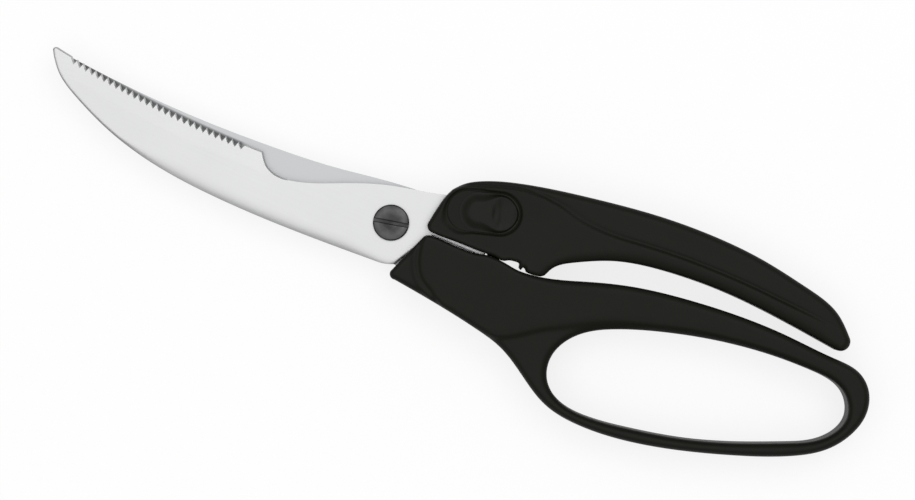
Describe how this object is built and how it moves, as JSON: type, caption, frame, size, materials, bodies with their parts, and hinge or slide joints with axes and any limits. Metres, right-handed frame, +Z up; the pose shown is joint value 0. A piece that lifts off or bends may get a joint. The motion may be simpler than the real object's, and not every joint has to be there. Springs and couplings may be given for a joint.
{
  "type": "poultry shears",
  "caption": "Closed poultry shears with a saw-toothed curved blade, bone notch, slide lock and one finger loop handle.",
  "frame": {"origin": "under the middle of the outline, on the surface that the closed shears lie on", "axes": "+X toward the handles along the closed shears, +Z up out of the side with the screw head, +Y toward the closed handle"},
  "size_m": [0.2519, 0.064, 0.0165],
  "materials": {
    "blade_steel": "satin, finely brushed stainless steel",
    "dark_steel": "dark burnished steel",
    "spring_steel": "drawn spring wire, satin",
    "handle_plastic": "near-black moulded nylon, satin",
    "button_plastic": "near-black moulded nylon, slightly glossier than the handle"
  },
  "bodies": {
    "loop_half": {"plain_blade": "blade_steel", "lower_handle": "handle_plastic", "pivot_screw": "dark_steel", "pivot_nut": "dark_steel", "tension_washer": "spring_steel", "handle_spring": "spring_steel"},
    "toothed_half": {"toothed_blade": "blade_steel", "upper_handle": "handle_plastic"},
    "slide_lock": {"lock_button": "button_plastic", "lock_bolt": "blade_steel", "lock_rivet": "blade_steel"}
  },
  "joints": [
    {"name": "blade_pivot", "type": "hinge", "parent": "loop_half", "child": "toothed_half", "pos_m": [-0.01865, 0, 0.008], "axis": [0, 0, 1], "range_deg": [0, 34], "deforming": ["handle_spring"]},
    {"name": "lock_slide", "type": "slide", "parent": "toothed_half", "child": "slide_lock", "axis": [-0.9563, -0.2924, 0], "range_m": [0, 0.0033]}
  ]
}
